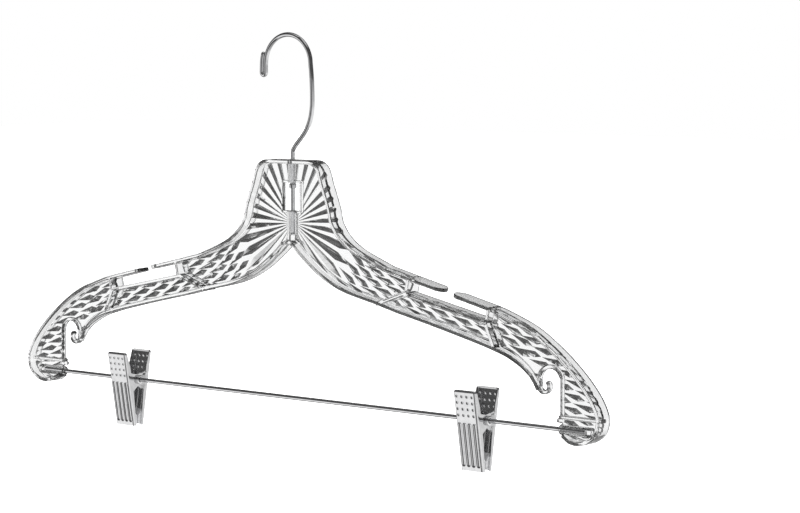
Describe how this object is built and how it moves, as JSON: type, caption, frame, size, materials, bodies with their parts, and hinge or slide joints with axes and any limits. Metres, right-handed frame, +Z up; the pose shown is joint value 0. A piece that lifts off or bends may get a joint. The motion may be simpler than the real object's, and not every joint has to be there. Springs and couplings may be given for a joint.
{
  "type": "suit hanger",
  "caption": "Clear moulded suit hanger with a swivel wire hook, strap notches, a trouser bar and sliding spring clips.",
  "frame": {"origin": "on the hook's swivel axis, level with the inside top of the hook, where the rail carries it", "axes": "+X along the hanger's width to its right arm, +Y to the back, +Z up"},
  "size_m": [0.432, 0.0238, 0.2385],
  "materials": {
    "clear_plastic": "crystal-clear polystyrene, polished, with faceted lozenges in the web",
    "chrome_wire": "bright chrome plated steel wire",
    "clip_steel": "bright plated stamped sheet steel",
    "spring_steel": "plated spring wire",
    "jaw_pad": "soft grey vinyl, ribbed"
  },
  "bodies": {
    "hook": {"hook_wire": "chrome_wire"},
    "hanger": {"hanger_body": "clear_plastic", "trouser_bar": "chrome_wire"},
    "left_clip_slider": {"left_clip_spring_coil": "spring_steel"},
    "left_clip_back": {"left_clip_back_plate": "clip_steel", "left_clip_back_pad": "jaw_pad", "left_clip_back_spring_leg": "spring_steel"},
    "left_clip_front": {"left_clip_front_plate": "clip_steel", "left_clip_front_pad": "jaw_pad", "left_clip_front_spring_leg": "spring_steel"},
    "right_clip_slider": {"right_clip_spring_coil": "spring_steel"},
    "right_clip_back": {"right_clip_back_plate": "clip_steel", "right_clip_back_pad": "jaw_pad", "right_clip_back_spring_leg": "spring_steel"},
    "right_clip_front": {"right_clip_front_plate": "clip_steel", "right_clip_front_pad": "jaw_pad", "right_clip_front_spring_leg": "spring_steel"}
  },
  "joints": [
    {"name": "hook_swivel", "type": "hinge", "parent": "hook", "child": "hanger", "pos_m": [0, 0, -0.0835], "axis": [0, 0, 1], "continuous": true},
    {"name": "left_clip_slide", "type": "slide", "parent": "hanger", "child": "left_clip_slider", "axis": [1, 0, 0], "range_m": [-0.02, 0.12]},
    {"name": "left_clip_swing", "type": "hinge", "parent": "left_clip_slider", "child": "left_clip_back", "pos_m": [-0.132, 0, -0.2079], "axis": [1, 0, 0], "continuous": true},
    {"name": "left_clip_jaw", "type": "hinge", "parent": "left_clip_back", "child": "left_clip_front", "pos_m": [-0.132, 0, -0.2079], "axis": [-1, 0, 0], "range_deg": [0, 36], "stiffness_Nm_per_rad": 0.25, "springref_deg": -28.65},
    {"name": "right_clip_slide", "type": "slide", "parent": "hanger", "child": "right_clip_slider", "axis": [-1, 0, 0], "range_m": [-0.02, 0.12]},
    {"name": "right_clip_swing", "type": "hinge", "parent": "right_clip_slider", "child": "right_clip_back", "pos_m": [0.132, 0, -0.2079], "axis": [1, 0, 0], "continuous": true},
    {"name": "right_clip_jaw", "type": "hinge", "parent": "right_clip_back", "child": "right_clip_front", "pos_m": [0.132, 0, -0.2079], "axis": [-1, 0, 0], "range_deg": [0, 36], "stiffness_Nm_per_rad": 0.25, "springref_deg": -28.65}
  ]
}
